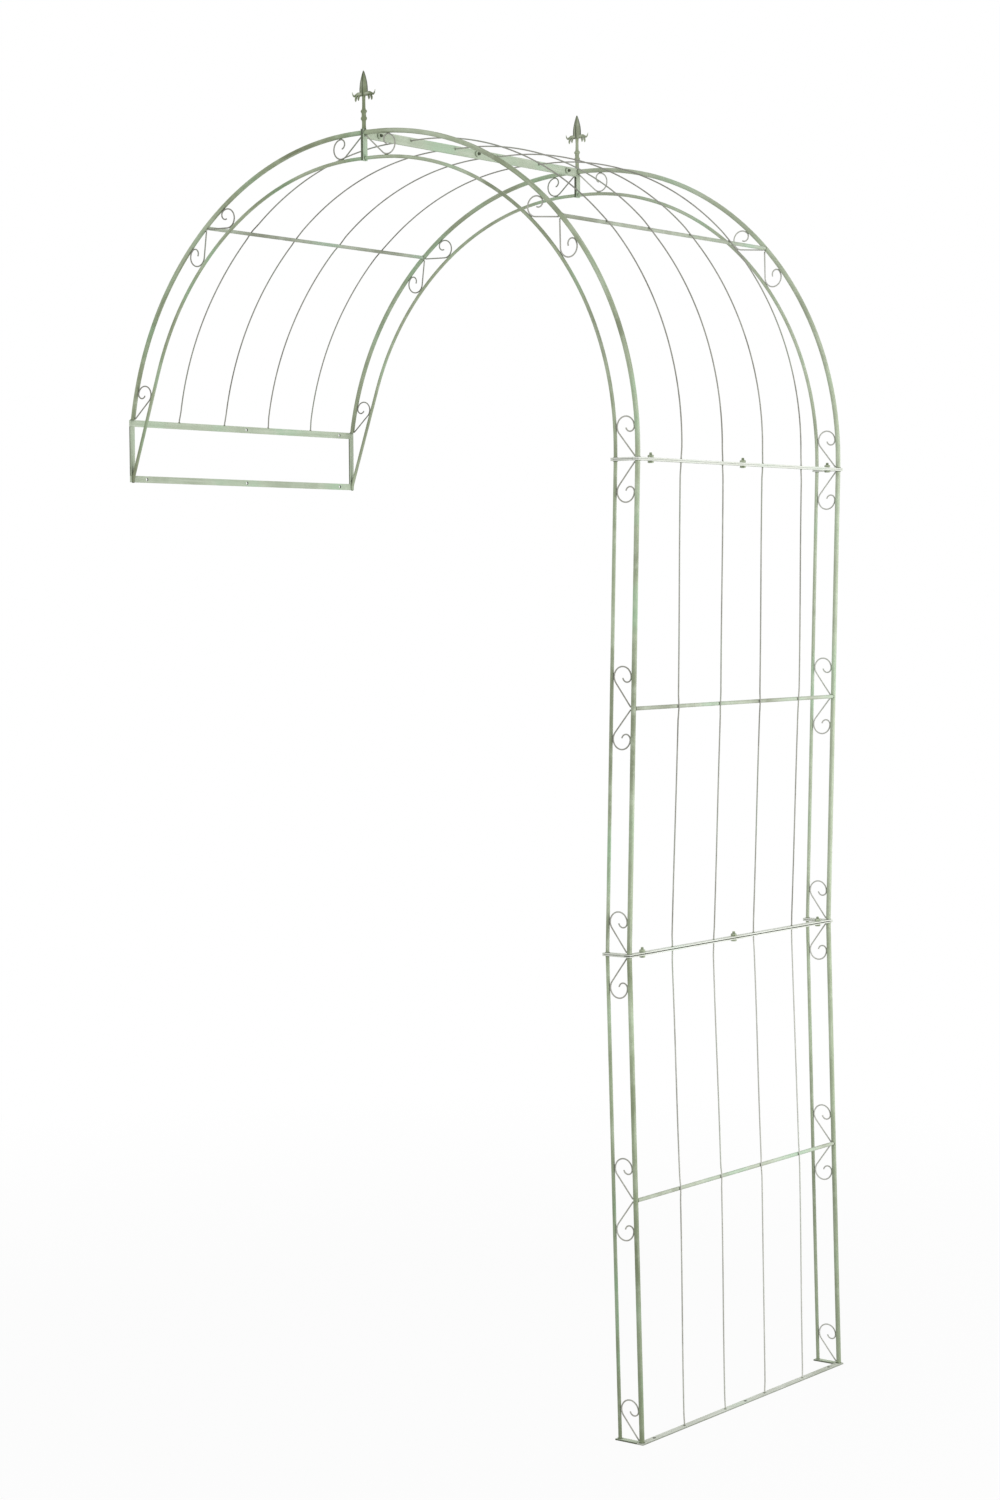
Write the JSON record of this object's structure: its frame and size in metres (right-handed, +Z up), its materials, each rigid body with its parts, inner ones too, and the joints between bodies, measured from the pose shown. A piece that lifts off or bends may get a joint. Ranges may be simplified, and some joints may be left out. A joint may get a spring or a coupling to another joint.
{
  "type": "garden arch",
  "caption": "Wall-fixed garden arch: a scrolled trellis leg in bolted sections carries a half-round arch over to a flat wall frame, with spear finials at the crown.",
  "frame": {"origin": "centre of the four corner holes of the wall frame, on the wall's face", "axes": "+X away from the wall towards the leg, +Y from the front frame to the back frame, +Z up"},
  "size_m": [1.3062, 0.724, 2.62],
  "materials": {
    "tube_paint": "matt sage green paint with an uneven antique wash",
    "bar_paint": "matt pale sage green paint, darker along its edges",
    "wire_paint": "matt grey-green paint",
    "finial_paint": "matt sage green paint on rough cast metal, dark in its hollows",
    "fastener_finish": "dull zinc with a green wash"
  },
  "bodies": {
    "root": {"back_finial": "finial_paint", "crown_bolts": "fastener_finish", "crown_nuts": "fastener_finish", "front_finial": "finial_paint", "leg_arch_back_inner_tube": "tube_paint", "leg_arch_back_outer_tube": "tube_paint", "leg_arch_back_scrolls": "wire_paint", "leg_arch_crossbar": "bar_paint", "leg_arch_crown_bar": "bar_paint", "leg_arch_crown_posts": "bar_paint", "leg_arch_foot_bar": "bar_paint", "leg_arch_foot_returns": "bar_paint", "leg_arch_front_inner_tube": "tube_paint", "leg_arch_front_outer_tube": "tube_paint", "leg_arch_front_scrolls": "wire_paint", "leg_arch_wires": "wire_paint", "lower_leg_back_inner_tube": "tube_paint", "lower_leg_back_outer_tube": "tube_paint", "lower_leg_back_scrolls": "wire_paint", "lower_leg_bottom_bar": "bar_paint", "lower_leg_bottom_returns": "bar_paint", "lower_leg_crossbar": "bar_paint", "lower_leg_front_inner_tube": "tube_paint", "lower_leg_front_outer_tube": "tube_paint", "lower_leg_front_scrolls": "wire_paint", "lower_leg_top_bar": "bar_paint", "lower_leg_top_returns": "bar_paint", "lower_leg_wires": "wire_paint", "middle_bolts": "fastener_finish", "middle_nuts": "fastener_finish", "springing_bolts": "fastener_finish", "springing_nuts": "fastener_finish", "upper_leg_back_inner_tube": "tube_paint", "upper_leg_back_outer_tube": "tube_paint", "upper_leg_back_scrolls": "wire_paint", "upper_leg_bottom_bar": "bar_paint", "upper_leg_bottom_returns": "bar_paint", "upper_leg_crossbar": "bar_paint", "upper_leg_front_inner_tube": "tube_paint", "upper_leg_front_outer_tube": "tube_paint", "upper_leg_front_scrolls": "wire_paint", "upper_leg_top_bar": "bar_paint", "upper_leg_top_returns": "bar_paint", "upper_leg_wires": "wire_paint", "wall_arch_back_inner_tube": "tube_paint", "wall_arch_back_outer_tube": "tube_paint", "wall_arch_back_scrolls": "wire_paint", "wall_arch_crossbar": "bar_paint", "wall_arch_crown_bar": "bar_paint", "wall_arch_crown_posts": "bar_paint", "wall_arch_front_inner_tube": "tube_paint", "wall_arch_front_outer_tube": "tube_paint", "wall_arch_front_scrolls": "wire_paint", "wall_arch_wires": "wire_paint", "wall_lower_bar": "bar_paint", "wall_upper_bar": "bar_paint", "wall_uprights": "bar_paint"}
  },
  "joints": []
}
